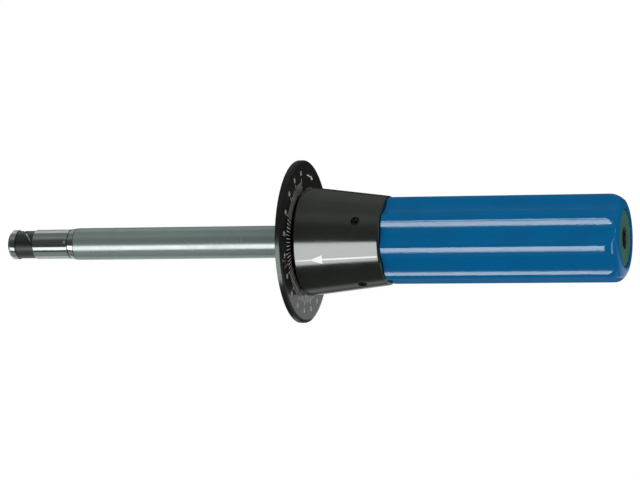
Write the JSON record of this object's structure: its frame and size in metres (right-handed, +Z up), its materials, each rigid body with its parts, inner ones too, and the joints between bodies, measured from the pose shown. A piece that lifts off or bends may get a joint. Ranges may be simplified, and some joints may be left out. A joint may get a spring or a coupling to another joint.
{
  "type": "torque screwdriver",
  "caption": "Direct-reading torque screwdriver with a hexagonal bit holder, long shank, round scale disc, pointer cone and fluted blue grip.",
  "frame": {"origin": "centre of the bounding box, on the tool's axis, midway between the bit holder's front face and the grip's end face", "axes": "+X along the tool's axis from the bit holder to the end of the grip, +Z up with a flute of the grip facing straight down, +Y sideways; the pointer's index line lies at 119.4 degrees about +X, measured from +Y towards +Z"},
  "size_m": [0.2136, 0.054, 0.054],
  "materials": {
    "bright_steel": "polished and bright chrome plated",
    "satin_steel": "finely ground, satin",
    "spring_steel": "dark oxide, satin",
    "black_screw": "black oxide",
    "black_disc": "black, glossy, with a white printed scale",
    "black_cone": "black anodised, semi-gloss, with a white printed pointer",
    "blue_grip": "bright blue anodised",
    "green_plug": "olive green anodised",
    "bronze": "sintered bronze",
    "white_ink": "matt printed marks",
    "red_ink": "matt printed zero line",
    "black_rubber": "matt"
  },
  "bodies": {
    "handle": {"handle_grip": "blue_grip", "inner_sleeve": "satin_steel", "pointer_cone": "black_cone", "cone_screw_1": "black_screw", "cone_screw_2": "black_screw", "cone_screw_3": "black_screw", "cone_screw_4": "black_screw", "front_bush": "bronze", "limit_pin": "black_screw", "torsion_spring": "spring_steel"},
    "shaft": {"bit_holder": "bright_steel", "bit_clip": "spring_steel", "bit_stop_pin": "satin_steel", "shaft_tube": "satin_steel", "torque_spindle": "satin_steel", "scale_disc": "black_disc", "disc_hub": "black_disc", "hub_screw_1": "black_screw", "hub_screw_2": "black_screw", "front_washer": "bronze", "rear_washer": "bronze", "shaft_circlip": "spring_steel", "spring_driver": "black_screw", "driver_pin": "satin_steel"},
    "zero_plug": {"rear_plug": "green_plug", "plug_seal": "black_rubber", "rear_bush": "bronze"},
    "detent_ball": {"bit_ball": "bright_steel"}
  },
  "joints": [
    {"name": "torque_twist", "type": "hinge", "parent": "handle", "child": "shaft", "pos_m": [0, 0, 0], "axis": [1, 0, 0], "range_deg": [-108, 108], "stiffness_Nm_per_rad": 0.64, "deforming": ["torsion_spring"]},
    {"name": "zero_setting", "type": "hinge", "parent": "handle", "child": "zero_plug", "pos_m": [0.09315, 0, 0], "axis": [1, 0, 0], "range_deg": [-18, 18], "deforming": ["torsion_spring"]},
    {"name": "ball_detent", "type": "slide", "parent": "shaft", "child": "detent_ball", "axis": [0, 0, -1], "range_m": [0, 0.00045], "stiffness_N_per_m": 2000, "deforming": ["bit_clip"]}
  ]
}
